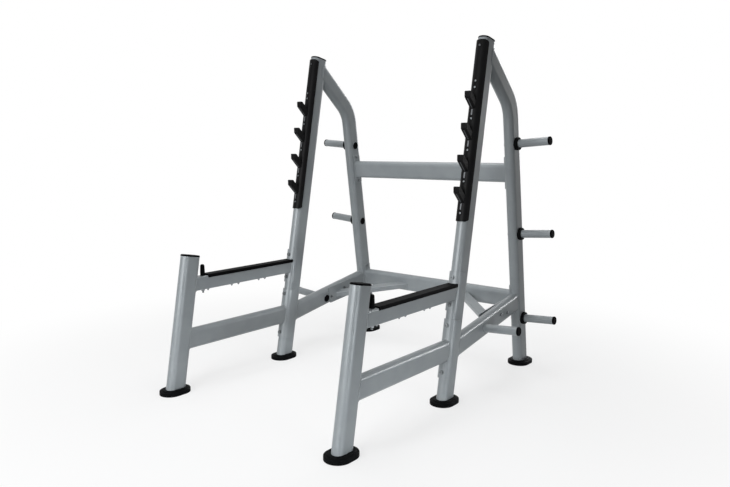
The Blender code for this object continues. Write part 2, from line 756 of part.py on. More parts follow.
def side_clearances(side):
    clearance("leg_clearance", leg_place(0), LEG_HEIGHT, side)
    clearance("upright_clearance", upright_place(0), UPRIGHT_HEIGHT, side)
    clearance("rear_clearance", rear_place(0), UPRIGHT_HEIGHT, side)
    wrap = 2 * GAP + PLATE_THICKNESS
    outline = flat_oval(TUBE_WIDTH, TUBE_DEPTH, wrap)
    mesh = extruded("saddle_clearance", [outline], upright_length(UPRIGHT_HEIGHT))
    add_cutter("saddle_clearance_" + side, mesh, upright_place(0), side)


def build_side(side, sign):
    side_frame(side, sign)
    side_clearances(side)
    leg = leaning_tube("front_leg", leg_place(0), LEG_HEIGHT, LEG_LEAN, side)
    upright = leaning_tube("upright", upright_place(0), UPRIGHT_HEIGHT, UPRIGHT_LEAN, side)
    rear = rear_tube(side)
    reach = 2 * BASE_LENGTH
    floor = cut_off("foot_tops_" + side, (-reach, -reach, -reach), (reach, reach, FOOT_HEIGHT + GAP), side)
    for tube in (leg, upright, rear):
        boolean(tube, floor)
    boolean(rear, bpy.data.objects["upright_clearance_" + side])

    rail_size = (RAIL_WIDTH, RAIL_HEIGHT)
    arm_size = (ARM_WIDTH, ARM_HEIGHT)
    arm_span = (ARM_SADDLE_BELOW, ARM_SADDLE_ABOVE)
    rail_span = (RAIL_SADDLE_BELOW, RAIL_SADDLE_ABOVE)
    rail = saddled_run("front_rail", RAIL_Z, rail_size, RAIL_CORNER, *rail_span, side)
    arm = saddled_run("spotter_arm", ARM_Z, arm_size, ARM_CORNER, *arm_span, side)
    saddle_bolts(rail, "rail_saddle", RAIL_Z, *rail_span, upright, side)
    saddle_bolts(arm, "arm_saddle", ARM_Z, *arm_span, upright, side)
    rear_rail = side_rail(side)
    bar_rack(side)
    arm_liner(side)
    brace(side, sign)

    for label, z in (("top", TOP_HORN_Z), ("middle", MIDDLE_HORN_Z), ("low", LOW_HORN_Z)):
        place = horn(label, rear_y(z), z, TUBE_WIDTH, rear, side, sign)
        horn_collar(label, place, side)
    z = side_rail_z(RAIL_HORN_Y) - RAIL_HORN_DROP
    horn("rail", RAIL_HORN_Y, z, RAIL_WIDTH, rear_rail, side, sign)
    boolean(bpy.data.objects["brace_" + side], bpy.data.objects["rail_horn_" + side + "_bore"])

    foot("front_foot", FRONT_Y, side)
    foot("middle_foot", UPRIGHT_Y, side)
    foot("rear_foot", REAR_Y, side)
    tube_cap("leg_cap", leg_place(LEG_HEIGHT), side)
    tube_cap("upright_cap", upright_place(UPRIGHT_HEIGHT), side)


def build():
    crossbar_clearance()
    for side, sign in SIDES:
        build_side(side, sign)
    crossbar("upper_crossbar", CROSSBAR_UPPER_Z, UPPER_PLATE_BELOW)
    crossbar("lower_crossbar", CROSSBAR_LOWER_Z, LOWER_PLATE_BELOW)


build()
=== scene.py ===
# Squat rack: the looks of a free-standing steel rack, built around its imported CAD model.
import math

import bmesh
import bpy
from mathutils import Matrix, Vector


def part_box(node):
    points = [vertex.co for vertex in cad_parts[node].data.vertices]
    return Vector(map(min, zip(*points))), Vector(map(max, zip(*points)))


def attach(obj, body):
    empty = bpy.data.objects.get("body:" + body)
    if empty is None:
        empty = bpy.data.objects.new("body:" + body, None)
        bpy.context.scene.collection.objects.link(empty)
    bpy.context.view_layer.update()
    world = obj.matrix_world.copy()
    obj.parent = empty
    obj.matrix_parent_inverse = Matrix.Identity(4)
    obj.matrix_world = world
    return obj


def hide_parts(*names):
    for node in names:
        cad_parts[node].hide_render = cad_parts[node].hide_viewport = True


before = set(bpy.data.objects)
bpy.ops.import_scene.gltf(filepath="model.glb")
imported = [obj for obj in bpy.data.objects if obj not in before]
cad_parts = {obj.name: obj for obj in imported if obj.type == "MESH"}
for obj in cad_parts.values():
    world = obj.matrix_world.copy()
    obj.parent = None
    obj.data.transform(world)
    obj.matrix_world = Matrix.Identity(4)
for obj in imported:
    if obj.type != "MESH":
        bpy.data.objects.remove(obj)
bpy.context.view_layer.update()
sides = (("l", -1), ("r", 1))
gap = 0.0003        # between a piece and its neighbour, as in the CAD model
hair = 0.000001     # points nearer than this are one point


# where the three tubes of a side frame stand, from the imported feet
def footMiddle(node):
    low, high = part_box(node)
    return (low + high) / 2


sideX = footMiddle("front_foot_r").x
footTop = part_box("front_foot_r")[1].z
oval = {"width": 0.060, "depth": 0.105, "segments": 14}     # the flat-sided oval tube
oval["reach"] = (oval["depth"] - oval["width"]) / 2
frontLeg = {"y": footMiddle("front_foot_r").y, "lean": 10.0, "top": 0.698}
upright = {"y": footMiddle("middle_foot_r").y, "lean": 10.5, "top": 1.786}
rearTube = {
    "y": footMiddle("rear_foot_r").y,
    "lean": -8.4,
    "upperLean": -49.0,     # of the run above the bend
    "bendRadius": 0.185,
    "bendSteps": 28,
    "jointBelowTop": 0.0566,  # where its centre line meets the upright's
    "cope": 0.0015,         # its end's distance behind the upright's flat sides
}


# colours and nodes

def paintColour(hexValue):  # sRGB hex to the linear colour that sockets take
    channels = [int(hexValue[i:i + 2], 16) / 255 for i in (1, 3, 5)]
    linear = [c / 12.92 if c <= 0.04045 else ((c + 0.055) / 1.055) ** 2.4 for c in channels]
    return (*linear, 1.0)


def addNode(tree, kind, settings=None, inputs=None, links=None):
    node = tree.nodes.new(kind)
    for name, value in (settings or {}).items():
        setattr(node, name, value)
    for name, value in (inputs or {}).items():
        node.inputs[name].default_value = value
    for name, socket in (links or {}).items():
        tree.links.new(socket, node.inputs[name])
    return node


def newMaterial(name):
    material = bpy.data.materials.new(name)
    material.use_nodes = True
    tree = material.node_tree
    place = addNode(tree, "ShaderNodeTexCoord").outputs["Object"]
    return material, tree, tree.nodes["Principled BSDF"], place


def noise(tree, place, millimetres, detail, roughness=0.5):  # features about this many millimetres across
    inputs = {"Scale": 1000 / millimetres, "Detail": detail, "Roughness": roughness}
    return addNode(tree, "ShaderNodeTexNoise", inputs=inputs, links={"Vector": place}).outputs["Fac"]


def colourRamp(tree, factor, stops):
    ramp = addNode(tree, "ShaderNodeValToRGB", links={"Fac": factor})
    for element, (place, colour) in zip(ramp.color_ramp.elements, stops):
        element.position = place
        element.color = paintColour(colour)
    return ramp.outputs["Color"]


def colourBy(tree, shader, factor, dark, light, start=0.3):  # flat below start, and as far from the top
    ramp = colourRamp(tree, factor, ((start, dark), (1 - start, light)))
    tree.links.new(ramp, shader.inputs["Base Color"])


def roughnessBy(tree, shader, value, low, high):
    inputs = {"To Min": low, "To Max": high}
    spread = addNode(tree, "ShaderNodeMapRange", inputs=inputs, links={"Value": value})
    tree.links.new(spread.outputs["Result"], shader.inputs["Roughness"])


def bumpBy(tree, shader, height, strength, distance):
    inputs = {"Strength": strength, "Distance": distance}
    bump = addNode(tree, "ShaderNodeBump", inputs=inputs, links={"Height": height})
    tree.links.new(bump.outputs["Normal"], shader.inputs["Normal"])


# materials

# Silver polyester powder coat on steel: aluminium flake in clear resin, sprayed and baked.
# The eye sees a cool grey satin, slightly mottled, with soft highlights and a fine orange peel.
def silverPowderCoat():
    coat = {
        "light": "#8f9496", "dark": "#858a8d",
        "cloudMm": 90, "flakeMm": 1.6, "peelMm": 2.4,   # flakes drawn coarser than the real 0.05 mm
        "flakeShare": 0.35,     # of the mottling, with the clouds as the rest
        "metallic": 0.06, "roughLow": 0.28, "roughHigh": 0.38,
        "peelHeight": 0.00004, "peelStrength": 0.5,
        "gloss": 0.24,          # the matting agent holds the clear sheen down
    }
    material, tree, shader, place = newMaterial("silver_powder_coat")
    cloud = noise(tree, place, coat["cloudMm"], 3.0)
    flake = noise(tree, place, coat["flakeMm"], 1.0)
    peel = noise(tree, place, coat["peelMm"], 2.0)
    both = addNode(tree, "ShaderNodeMix", {"data_type": "FLOAT"}, {"Factor": coat["flakeShare"]},
                   {"A": cloud, "B": flake})
    colourBy(tree, shader, both.outputs["Result"], coat["dark"], coat["light"])
    roughnessBy(tree, shader, flake, coat["roughLow"], coat["roughHigh"])
    bumpBy(tree, shader, peel, coat["peelStrength"], coat["peelHeight"])
    shader.inputs["Metallic"].default_value = coat["metallic"]
    shader.inputs["Specular IOR Level"].default_value = coat["gloss"]
    return material


# Black mouldings of glass-filled nylon, polythene or rubber: a fine spark-eroded grain greys the
# highlights, and slow swirls show where the melt flowed.
def blackMoulding(name, light, dark, grainMm, rough, grainHeight, gloss):
    skin = {"grainRoughness": 0.6, "grainStrength": 0.6, "flowMm": 35, "refraction": 1.53}   # as nylon 6
    material, tree, shader, place = newMaterial(name)
    grain = noise(tree, place, grainMm, 4.0, skin["grainRoughness"])
    flow = noise(tree, place, skin["flowMm"], 2.0)
    colourBy(tree, shader, flow, dark, light)
    roughnessBy(tree, shader, flow, *rough)
    bumpBy(tree, shader, grain, skin["grainStrength"], grainHeight)
    shader.inputs["IOR"].default_value = skin["refraction"]
    shader.inputs["Specular IOR Level"].default_value = gloss   # the grain scatters most of the sheen
    return material


# Zinc plate on steel bolts: metallic, with faint turning marks, and grown dull.
def zincPlate():
    plate = {"light": "#7f8284", "dark": "#5e6264", "markMm": 0.9, "dullMm": 6, "rough": (0.36, 0.52)}
    material, tree, shader, place = newMaterial("zinc_plated_steel")
    marks = noise(tree, place, plate["markMm"], 2.0)
    dull = noise(tree, place, plate["dullMm"], 3.0)
    colourBy(tree, shader, dull, plate["dark"], plate["light"])
    roughnessBy(tree, shader, marks, *plate["rough"])
    shader.inputs["Metallic"].default_value = 1.0
    return material


# Rolled steel strip, plain on the moulding's front; a darker copy is painted shade under the hooks and on
# the topmost screw. Dull metal whose fine lines stretch the highlights.
def rolledSteel(name, light, dark):
    sheet = {"lineMm": 0.7, "stretch": 14, "colourStart": 0.35, "rough": (0.44, 0.60)}
    material, tree, shader, place = newMaterial(name)
    drawn = addNode(tree, "ShaderNodeMapping", inputs={"Scale": (sheet["stretch"], 1.0, 1.0)},
                    links={"Vector": place})
    lines = noise(tree, drawn.outputs["Vector"], sheet["lineMm"] * sheet["stretch"], 3.0)
    colourBy(tree, shader, lines, dark, light, sheet["colourStart"])
    roughnessBy(tree, shader, lines, *sheet["rough"])
    shader.inputs["Metallic"].default_value = 1.0
    return material


def seenRays(tree):  # 1 for what the eye, a reflection or a glass sees, 0 for the light between surfaces
    rays = addNode(tree, "ShaderNodeLightPath")
    seen = rays.outputs["Is Camera Ray"]
    for kind in ("Is Glossy Ray", "Is Transmission Ray"):
        links = {0: seen, 1: rays.outputs[kind]}
        seen = addNode(tree, "ShaderNodeMath", {"operation": "MAXIMUM"}, links=links).outputs[0]
    return seen


# Matt white studio paper: it keeps the soft shadow under the rack and fades to the white backdrop.
def studioPaper():
    paper = {
        "white": "#f0f0f0", "roughness": 0.9,
        "bounce": "#f4f4f4", "dim": "#4a4a4a", "dimFrom": 1.1, "dimTo": 2.0,   # what it throws back
        "near": 0.9, "far": 2.8, "glow": 0.68,      # its fade, in metres from the middle
    }
    material, tree, shader, place = newMaterial("matt_white_studio_paper")
    seen = seenRays(tree)
    radius = addNode(tree, "ShaderNodeVectorMath", {"operation": "LENGTH"}, links={0: place}).outputs["Value"]
    dimming = addNode(tree, "ShaderNodeMapRange", links={"Value": radius},
                      inputs={"From Min": paper["dimFrom"], "From Max": paper["dimTo"]})
    bounce = colourRamp(tree, dimming.outputs["Result"], ((0.0, paper["bounce"]), (1.0, paper["dim"])))
    colour = addNode(tree, "ShaderNodeMix", {"data_type": "RGBA"}, {7: paintColour(paper["white"])},
                     {"Factor": seen, 6: bounce})
    tree.links.new(colour.outputs[2], shader.inputs["Base Color"])
    shader.inputs["Roughness"].default_value = paper["roughness"]
    shader.inputs["Specular IOR Level"].default_value = 0.0
    fade = addNode(tree, "ShaderNodeMapRange", {"interpolation_type": "SMOOTHSTEP"}, links={"Value": radius},
                   inputs={"From Min": paper["near"], "From Max": paper["far"], "To Min": paper["glow"]})
    share = addNode(tree, "ShaderNodeMath", {"operation": "MULTIPLY"},
                    links={0: seen, 1: fade.outputs["Result"]})
    white = addNode(tree, "ShaderNodeEmission", inputs={"Color": paintColour("#ffffff"), "Strength": 1.0})
    mix = addNode(tree, "ShaderNodeMixShader",
                  links={"Fac": share.outputs[0], 1: shader.outputs[0], 2: white.outputs[0]})
    tree.links.new(mix.outputs[0], tree.nodes["Material Output"].inputs["Surface"])
    return material


paint = silverPowderCoat()
nylon = blackMoulding("black_moulded_nylon", light="#0c0c0d", dark="#070708", grainMm=0.9,
                      rough=(0.36, 0.46), grainHeight=0.00006, gloss=0.06)
rubber = blackMoulding("black_vulcanised_rubber", light="#08090a", dark="#050607", grainMm=1.6,
                       rough=(0.52, 0.66), grainHeight=0.00012, gloss=0.03)
capPlastic = blackMoulding("black_injected_polythene", light="#070709", dark="#040405", grainMm=1.2,
                           rough=(0.50, 0.62), grainHeight=0.00004, gloss=0.01)
zinc = zincPlate()
linerPlastic = blackMoulding("black_polythene_liner", light="#060607", dark="#030304", grainMm=1.4,
                             rough=(0.50, 0.62), grainHeight=0.00006, gloss=0.02)
plainSteel = rolledSteel("dull_rolled_steel", light="#68696b", dark="#505254")
# a darker copy of the rolled steel: painted shade for the ribs under the hooks and the topmost screw
shadeDarkSteel = rolledSteel("rolled_steel_painted_shade", light="#5a5c5e", dark="#46484a")
print("materials are made")


# places

def cos(degrees):
    return math.cos(math.radians(degrees))


def tan(degrees):
    return math.tan(math.radians(degrees))


def shift(x, y, z):
    return Matrix.Translation((x, y, z))


def turnX(degrees):
    return Matrix.Rotation(math.radians(degrees), 4, "X")


def turnY(degrees):
    return Matrix.Rotation(math.radians(degrees), 4, "Y")


def toSide(sign):  # from the rack's middle plane to that of a side frame
    return shift(sign * sideX, 0, 0)


def tubeY(tube, z):
    return tube["y"] + z * tan(tube["lean"])


def tubeRun(tube, z):  # distance up the centre line from the floor
    return z / cos(tube["lean"])


def leaning(tube, z):  # on a tube's centre line at this height, with local Z up the tube and Y to its back
    return shift(0, tubeY(tube, z), z) @ turnX(-tube["lean"])


# shapes

def linked(name, data):
    item = bpy.data.objects.new(name, data)
    bpy.context.scene.collection.objects.link(item)
    return item


def meshOf(name, work):
    mesh = bpy.data.meshes.new(name)
    work.to_mesh(mesh)
    work.free()
    return mesh


def facedOut(work):
    bmesh.ops.recalc_face_normals(work, faces=work.faces[:])


def addPiece(name, work, material, slot, *stands, sharpAngle=40, weighted=True):
    facedOut(work)
    mesh = meshOf(name, work)
    mesh.materials.append(material)
    mesh.shade_smooth()
    mesh.set_sharp_from_angle(angle=math.radians(sharpAngle))
    piece = linked(name, mesh)
    if weighted:
        normals = piece.modifiers.new("flatFaces", "WEIGHTED_NORMAL")
        normals.keep_sharp = True
    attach(piece, "root")
    if stands:
        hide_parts(*stands)


def addPainted(name, work, *stands):
    addPiece(name, work, paint, "frame_paint", *stands)


def addWeld(name, bead):  # shaded round, without flat faces
    addPiece(name, bead, paint, "frame_paint", sharpAngle=80, weighted=False)


def addFastener(name, work, *stands):
    addPiece(name, work, zinc, "bolt_steel", *stands)


def moved(work, place):
    bmesh.ops.transform(work, matrix=place, verts=work.verts[:])
    return work


def joined(shapes):
    whole = bmesh.new()
    for shape in shapes:
        holder = meshOf("holder", shape)
        whole.from_mesh(holder)
        bpy.data.meshes.remove(holder)
    return whole


def evaluated(holder):  # what an object's curve or modifiers make, as a bmesh
    graph = bpy.context.evaluated_depsgraph_get()
    mesh = bpy.data.meshes.new_from_object(holder.evaluated_get(graph))
    work = bmesh.new()
    work.from_mesh(mesh)
    bpy.data.meshes.remove(mesh)
    return work


def vertsOf(items):
    return [item for item in items if isinstance(item, bmesh.types.BMVert)]


def edgesOf(items):
    return [item for item in items if isinstance(item, bmesh.types.BMEdge)]


def bevel(work, edges, width, segments, clamped=False):
    bmesh.ops.bevel(work, geom=edges, offset=width, offset_type="OFFSET", affect="EDGES", segments=segments,
                    profile=0.5, material=-1, clamp_overlap=clamped)


def roundEdges(work, width, segments, above=60, chosen=None):
    sharp = [e for e in work.edges if len(e.link_faces) == 2 and e.calc_face_angle(0) > math.radians(above)]
    if chosen:
        sharp = [e for e in sharp if chosen(e)]
    bevel(work, sharp, width, segments, clamped=True)
    return work


def higherThan(z):
    return lambda edge: edge.verts[0].co.z > z


def merge(work, distance):
    bmesh.ops.remove_doubles(work, verts=work.verts[:], dist=distance)


def roundedBar(width, depth, corner, length, segments=6):
    work = bmesh.new()
    bmesh.ops.create_cube(work, size=1)
    bmesh.ops.scale(work, vec=(width, depth, length), verts=work.verts[:])
    bmesh.ops.translate(work, vec=(0, 0, length / 2), verts=work.verts[:])
    standing = [e for e in work.edges if abs(e.verts[0].co.z - e.verts[1].co.z) > length / 2]
    bevel(work, standing, corner, segments)
    merge(work, hair)
    return work


def stadiumBar(width, depth, length, segments):  # both of its ends are half circles
    spare = 0.00001     # keeps the two arcs apart at the middle of each round face
    work = roundedBar(width, depth, width / 2 - spare, length, segments)
    merge(work, 3 * spare)
    return work


def ovalBar(grow, length):
    return stadiumBar(oval["width"] + 2 * grow, oval["depth"] + 2 * grow, length, oval["segments"])


def cutAway(work, point, normal, closed=True):  # takes away what lies on the normal's side
    geometry = work.verts[:] + work.edges[:] + work.faces[:]
    cut = bmesh.ops.bisect_plane(work, geom=geometry, dist=hair, plane_co=point, plane_no=normal,
                                 clear_outer=True)
    if closed:
        bmesh.ops.holes_fill(work, edges=edgesOf(cut["geom_cut"]), sides=0)


def openSheet(grow, length, back):  # round the front of an oval bar, as far as Y = back
    work = ovalBar(grow, length)
    cutAway(work, (0, back, 0), (0, 1, 0), closed=False)
    ends = [f for f in work.faces if abs(f.normal.z) > 0.5]
    bmesh.ops.delete(work, geom=ends, context="FACES_ONLY")
    return work


def thickened(work, thickness):  # gives an open sheet its wall, on the inside
    facedOut(work)
    if sum(f.normal.dot(f.calc_center_median() * Vector((1, 1, 0))) for f in work.faces) < 0:
        bmesh.ops.reverse_faces(work, faces=work.faces[:])
    bmesh.ops.solidify(work, geom=work.faces[:], thickness=thickness)
    return work


def turnedShape(profile, steps):  # spins (radius, z) points about local Z
    work = bmesh.new()
    points = [work.verts.new((radius, 0, z)) for radius, z in profile]
    edges = [work.edges.new(pair) for pair in zip(points, points[1:])]
    if profile[0][0] > 0:
        edges.append(work.edges.new((points[-1], points[0])))
    bmesh.ops.spin(work, geom=points + edges, cent=(0, 0, 0), axis=(0, 0, 1), angle=2 * math.pi,
                   steps=steps, use_merge=True)
    merge(work, 5 * hair)
    return work


def disc(radius, low, high, steps, bore=0):
    return turnedShape([(bore, low), (radius, low), (radius, high), (bore, high)], steps)


def extrudedOutline(outline, length):  # (x, y) points drawn out along local Z
    work = bmesh.new()
    face = work.faces.new([work.verts.new((x, y, 0)) for x, y in outline])
    grown = bmesh.ops.extrude_face_region(work, geom=[face])["geom"]
    bmesh.ops.translate(work, vec=(0, 0, length), verts=vertsOf(grown))
    facedOut(work)
    return work


def extrudedAcross(outline, width):  # the same, with its middle at local Z = 0
    return moved(extrudedOutline(outline, width), shift(0, 0, -width / 2))


def drawOut(work, edges, run, closed=True):  # draws edges out along a vector
    grown = bmesh.ops.extrude_edge_only(work, edges=edges)["geom"]
    bmesh.ops.translate(work, vec=run, verts=vertsOf(grown))
    if closed:
        bmesh.ops.holes_fill(work, edges=edgesOf(grown), sides=0)


def cutWith(work, tool):  # an exact cut, with the result taken back as a bmesh
    holders = []
    for label, shape in (("whole", work), ("tool", tool)):
        holders.append(linked(label, meshOf(label, shape)))
    step = holders[0].modifiers.new("cut", "BOOLEAN")
    step.operation = "DIFFERENCE"
    step.object = holders[1]
    made = evaluated(holders[0])
    for holder in holders:
        mesh = holder.data
        bpy.data.objects.remove(holder, do_unlink=True)
        bpy.data.meshes.remove(mesh)
    return made


# outlines and welds

weld = {
    "radius": 0.0034,
    "ripple": 0.0026,     # from one ripple to the next
    "swell": 0.14,        # how much each ripple stands out
    "sides": 2,
}


def circleOutline(radius, count):
    angles = [math.tau * number / count for number in range(count)]
    return [(radius * math.cos(angle), radius * math.sin(angle)) for angle in angles]


def barOutline(width, height, corner, steps=5):
    points = []
    for turn, (x, y) in enumerate(((1, 1), (-1, 1), (-1, -1), (1, -1))):
        for step in range(steps + 1):
            angle = math.radians(90 * (turn + step / steps))
            points.append(((width / 2 - corner) * x + corner * math.cos(angle),
                           (height / 2 - corner) * y + corner * math.sin(angle)))
    return points


def ovalOutline():
    radius, steps = oval["width"] / 2, oval["segments"]
    points = []
    for end, turn in ((1, 0), (-1, math.pi)):
        for step in range(steps + 1):
            angle = math.pi * step / steps + turn
            points.append((radius * math.cos(angle), end * oval["reach"] + radius * math.sin(angle)))
    return points


def evenly(path, spacing):  # points at even distances round a closed path
    loop = path + [path[0]]
    lengths = [(b - a).length for a, b in zip(loop, loop[1:])]
    count = round(sum(lengths) / spacing)
    step = sum(lengths) / count
    points, index, done = [], 0, 0.0
    for number in range(count):
        while done + lengths[index] < number * step:
            done += lengths[index]
            index += 1
        share = (number * step - done) / lengths[index]
        points.append(loop[index].lerp(loop[index + 1], share))
    return points


def weldBead(path):  # a rippled bead along a closed path
    points = evenly(path, weld["ripple"] / 2)
    curve = bpy.data.curves.new("weld", "CURVE")
    curve.dimensions = "3D"
    curve.bevel_depth = weld["radius"]
    curve.bevel_resolution = weld["sides"]
    spline = curve.splines.new("POLY")
    spline.points.add(len(points) - 1)
    for number, point in enumerate(points):
        spline.points[number].co = (*point, 1)
        spline.points[number].radius = 1 + weld["swell"] * (number % 2)
    spline.use_cyclic_u = True
    holder = linked("weld", curve)
    work = evaluated(holder)
    bpy.data.objects.remove(holder, do_unlink=True)
    bpy.data.curves.remove(curve)
    return work


def meetsOval(tube, face, grow=0.0):  # how far along a direction the front (-1) or back (1) of a tube lies
    inside = leaning(tube, 0).inverted()

    def distance(point, direction):
        start = inside @ point
        run = inside.to_3x3() @ direction
        radius = oval["width"] / 2 + grow
        bulge = math.sqrt(max(0.0, radius ** 2 - start.x ** 2))
        return (face * (oval["reach"] + bulge) - start.y) / run.y
    return distance


def meetsFace(point, normal):
    def distance(start, direction):
        return (point - start).dot(normal) / direction.dot(normal)
    return distance


def jointPath(outline, place, distance):  # where a section's lines along local Z meet a neighbour
    direction = (place.to_3x3() @ Vector((0, 0, 1))).normalized()
    starts = [place @ Vector((x, y, 0)) for x, y in outline]
    return [start + direction * distance(start, direction) for start in starts]


def jointWelds(outline, place, *neighbours):
    return joined([weldBead(jointPath(outline, place, distance)) for distance in neighbours])


# side frames

def straightTube(tube):
    length = tubeRun(tube, tube["top"]) + oval["depth"]
    work = moved(ovalBar(0, length), leaning(tube, 0) @ shift(0, 0, -oval["depth"]))
    cutAway(work, (0, 0, footTop), (0, 0, -1))
    return work


def alongTube(lean):
    return Vector((0, math.sin(math.radians(lean)), cos(lean)))


def bentTube():
    lower, upper = alongTube(rearTube["lean"]), alongTube(rearTube["upperLean"])
    jointZ = upright["top"] - rearTube["jointBelowTop"]
    joint = Vector((0, tubeY(upright, jointZ), jointZ))
    slope = tan(rearTube["lean"])
    reach = (tubeY(rearTube, jointZ) - joint.y) / (slope * upper.z - upper.y)
    corner = joint - upper * reach
    turn = math.radians(rearTube["lean"] - rearTube["upperLean"])
    tangent = rearTube["bendRadius"] * math.tan(turn / 2)
    start = Vector((0, rearTube["y"], 0)) - lower * oval["depth"]
    bendStart = corner - lower * tangent

    work = moved(ovalBar(0, (bendStart - start).length), shift(*start) @ turnX(-rearTube["lean"]))
    end = max(work.faces, key=lambda face: face.calc_center_median().z)
    rim = end.edges[:] + end.verts[:]
    bmesh.ops.delete(work, geom=[end], context="FACES_ONLY")
    centre = bendStart + alongTube(rearTube["lean"] - 90) * rearTube["bendRadius"]
    bent = bmesh.ops.spin(work, geom=rim, cent=centre, axis=(1, 0, 0), angle=turn,
                          steps=rearTube["bendSteps"], use_merge=False)["geom_last"]
    drawOut(work, edgesOf(bent), upper * (reach - tangent))

    # coped to the round back of the upright, where its flat sides end
    back = leaning(upright, jointZ)
    cutAway(work, back @ Vector((0, oval["reach"] + rearTube["cope"], 0)), back.to_3x3() @ Vector((0, -1, 0)))
    cutAway(work, (0, 0, footTop), (0, 0, -1))
    seam = jointPath(ovalOutline(), shift(*corner) @ turnX(-rearTube["upperLean"]), meetsOval(upright, 1))
    return work, weldBead(seam)


def buildTubes():
    for side, sign in sides:
        for name, tube in (("front_leg", frontLeg), ("upright", upright)):
            addPainted(f"{name}_tube_{side}", moved(straightTube(tube), toSide(sign)), f"{name}_{side}")
        tube, bead = bentTube()
        addPainted(f"rear_bent_tube_{side}", moved(tube, toSide(sign)), f"rear_tube_{side}")
        addWeld(f"rear_tube_weld_{side}", moved(bead, toSide(sign)))


# level rails and arms, with the saddles that bolt them to the uprights

railTube = {"width": 0.050, "height": 0.1070, "corner": 0.0235}     # side rails and crossbars have it too
rail = {**railTube, "z": 0.266, "below": 0.144, "above": 0.144}
arm = {"width": 0.050, "height": 0.072, "corner": 0.008, "z": 0.551, "below": 0.101, "above": 0.092}
saddle = {
    "thickness": 0.006,
    "wrap": 0.005,          # how far behind the upright's middle it reaches
    "edge": 0.0012, "boltInset": 0.030,
}


def section(sizes):
    return sizes["width"], sizes["height"], sizes["corner"]


def saddleStrap(sizes):
    length = tubeRun(upright, sizes["above"] + sizes["below"])
    work = openSheet(gap + saddle["thickness"], length, saddle["wrap"])
    return roundEdges(thickened(work, saddle["thickness"]), saddle["edge"], 2, above=50)


def levelBar(sizes):  # from the leg's centre line to the upright's, and its welds
    y0, y1 = tubeY(frontLeg, sizes["z"]), tubeY(upright, sizes["z"])
    place = shift(0, y1, sizes["z"]) @ turnX(90)
    welds = jointWelds(barOutline(*section(sizes)), place, meetsOval(frontLeg, 1),
                       meetsOval(upright, -1, gap + saddle["thickness"]))
    return moved(roundedBar(*section(sizes), y1 - y0), place), welds


# socket-head bolts

bolt = {"washerRadius": 0.0115, "washer": 0.0020, "washerEdge": 0.0004, "washerSteps": 32,
        "radius": 0.0085, "head": 0.0070, "rounding": 0.0012, "sides": 30,
        "socket": 0.0042, "socketDepth": 0.0045}
smallBolt = 0.85    # the crossbars' and braces' screws against the saddles'


def washerShape(sizes):
    washer = disc(sizes["washerRadius"], 0, sizes["washer"], sizes["washerSteps"])
    return roundEdges(washer, sizes["washerEdge"], 2)


def boltHead(sizes, scale=1.0):  # a washer and a cap head with a hexagon socket, seated at local Z = 0
    head = bmesh.new()
    rings = [bmesh.ops.create_circle(head, segments=count, radius=radius)["verts"]
             for count, radius in ((sizes["sides"], sizes["radius"]), (6, sizes["socket"]))]
    loops = [[e for e in head.edges if e.verts[0] in ring and e.verts[1] in ring] for ring in rings]
    bmesh.ops.bridge_loops(head, edges=loops[0] + loops[1])
    for loop, depth in zip(loops, (sizes["head"], sizes["socketDepth"])):
        drawOut(head, loop, (0, 0, -depth))
    facedOut(head)
    bevel(head, loops[0], sizes["rounding"], 3)
    moved(head, shift(0, 0, sizes["washer"] + sizes["head"]))
    return moved(joined([washerShape(sizes), head]), Matrix.Scale(scale, 4))


nut = {"washerRadius": 0.0090, "washer": 0.0014, "washerEdge": 0.0003, "washerSteps": 28,
       "radius": 0.0074, "height": 0.0058, "edge": 0.0006,
       "boltRadius": 0.0036, "reach": 0.0125, "boltEdge": 0.0007, "boltSteps": 20}


def nutAndTip(sizes):  # a washer, a hexagon nut and the end of its bolt, seated at local Z = 0
    body = extrudedOutline(circleOutline(sizes["radius"], 6), sizes["height"])
    roundEdges(body, sizes["edge"], 2, above=30)
    moved(body, shift(0, 0, sizes["washer"]))
    end = disc(sizes["boltRadius"], sizes["washer"], sizes["reach"], sizes["boltSteps"])
    roundEdges(end, sizes["boltEdge"], 2)
    return joined([washerShape(sizes), body, end])


def frontSeat(sign, z, thickness):  # on what lies round the upright's front, with local Z outwards
    face = oval["depth"] / 2 + gap + thickness
    return toSide(sign) @ leaning(upright, z) @ shift(0, -face, 0) @ turnX(90)


def saddleBolts(name, sizes, side, sign):
    for label, z in (("top", sizes["z"] + sizes["above"] - saddle["boltInset"]),
                     ("bottom", sizes["z"] - sizes["below"] + saddle["boltInset"])):
        seat = frontSeat(sign, z, saddle["thickness"])
        addFastener(f"{name}_cap_screw_{label}_{side}", moved(boltHead(bolt), seat),
                    f"{name}_bolt_{label}_{side}")


def buildRails():
    for side, sign in sides:
        for name, label, sizes in (("front_rail", "rail", rail), ("spotter_arm", "arm", arm)):
            bar, beads = levelBar(sizes)
            addPainted(f"{name}_bar_{side}", moved(bar, toSide(sign)), f"{name}_{side}")
            addWeld(f"{name}_welds_{side}", moved(beads, toSide(sign)))
            low = tubeRun(upright, sizes["z"] - sizes["below"])
            place = toSide(sign) @ leaning(upright, 0) @ shift(0, 0, low)
            addPainted(f"{label}_saddle_{side}", moved(saddleStrap(sizes), place))
            saddleBolts(f"{label}_saddle", sizes, side, sign)


# rising side rails

sideRail = {**railTube, "z": rail["z"], "drop": 0.006, "rise": 10.1}


def sideRailZ(y):
    return sideRail["z"] - sideRail["drop"] + (y - tubeY(upright, sideRail["z"])) * tan(sideRail["rise"])


